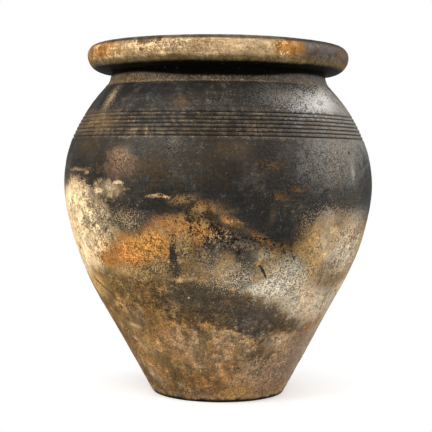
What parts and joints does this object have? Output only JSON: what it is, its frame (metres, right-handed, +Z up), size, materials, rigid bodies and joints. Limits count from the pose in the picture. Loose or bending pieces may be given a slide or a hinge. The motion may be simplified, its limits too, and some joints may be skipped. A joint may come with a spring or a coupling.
{
  "type": "ceramic storage jar",
  "caption": "Large round-bellied storage jar with a small flat foot, short neck, thick rolled rim and incised bands on the shoulder, for keeping grain, oil or water.",
  "frame": {"origin": "middle of the flat underside of the foot, on the ground", "axes": "+Z up along the jar's axis, -Y towards the viewer of the front"},
  "size_m": [0.4452, 0.4452, 0.4985],
  "materials": {
    "foot_clay": "matte fired earthenware, tan brown with grey fire marks",
    "belly_clay": "matte fired earthenware, ochre and cream with smoke stains",
    "smoked_clay": "smoke-blackened burnished earthenware, slightly satin",
    "rim_clay": "matte fired earthenware, buff with brown specks",
    "inner_clay": "rough unslipped earthenware"
  },
  "bodies": {
    "root": {"base_disc": "foot_clay", "base_corner_coil": "inner_clay", "foot_course": "foot_clay", "lower_course": "foot_clay", "middle_course": "belly_clay", "belly_course": "belly_clay", "upper_belly_course": "smoked_clay", "shoulder_course": "smoked_clay", "collar_course": "smoked_clay", "neck_ring": "smoked_clay", "rim_roll": "rim_clay"}
  },
  "joints": []
}
